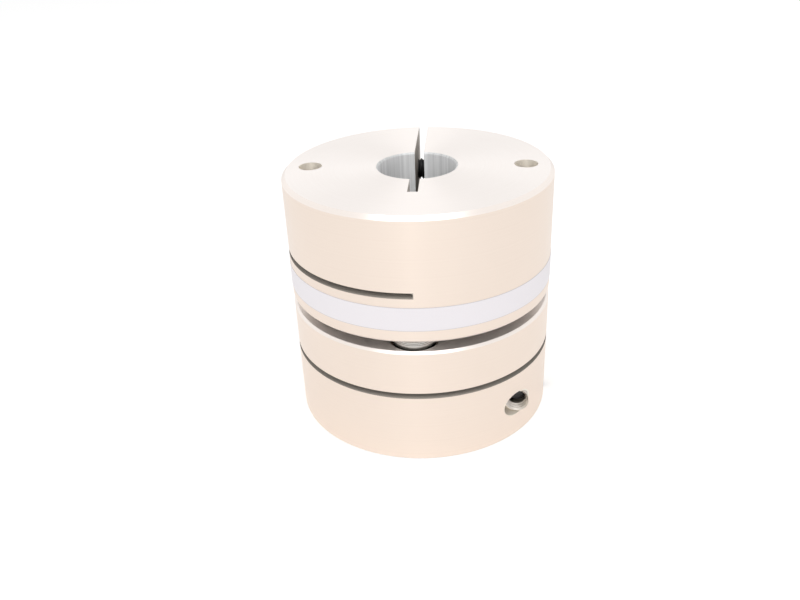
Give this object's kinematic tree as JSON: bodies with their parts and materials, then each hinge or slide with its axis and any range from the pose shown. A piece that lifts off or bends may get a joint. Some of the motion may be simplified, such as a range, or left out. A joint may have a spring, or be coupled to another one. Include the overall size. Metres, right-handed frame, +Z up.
{
  "type": "disc coupling",
  "caption": "Single disc pack shaft coupling with two slotted aluminium clamping hubs for round shafts.",
  "frame": {"origin": "centre of the lower end face, where the shaft axis meets the surface that the coupling stands on", "axes": "+Z up along the shaft axis, +Y towards the open side of the upper hub's slit, +X towards the open side of the lower hub's slit"},
  "size_m": [0.0692, 0.0691, 0.0666],
  "materials": {
    "anodised_aluminium": "fine turned, clear anodised, with bare bore and saw cuts",
    "spring_steel": "cold rolled stainless strip",
    "turned_steel": "turned",
    "black_steel": "black oxide",
    "label_film": "satin film"
  },
  "bodies": {
    "root": {"upper_hub": "anodised_aluminium", "lower_hub": "anodised_aluminium", "clamp_screw_upper": "black_steel", "clamp_screw_lower": "black_steel", "lamination_1": "spring_steel", "lamination_2": "spring_steel", "lamination_3": "spring_steel", "lamination_4": "spring_steel", "lamination_5": "spring_steel", "bush_front": "turned_steel", "ring_front": "turned_steel", "disc_screw_front": "black_steel", "bush_back": "turned_steel", "ring_back": "turned_steel", "disc_screw_back": "black_steel", "bush_left": "turned_steel", "ring_left": "turned_steel", "disc_screw_left": "black_steel", "bush_right": "turned_steel", "ring_right": "turned_steel", "disc_screw_right": "black_steel", "label": "label_film"}
  },
  "joints": []
}
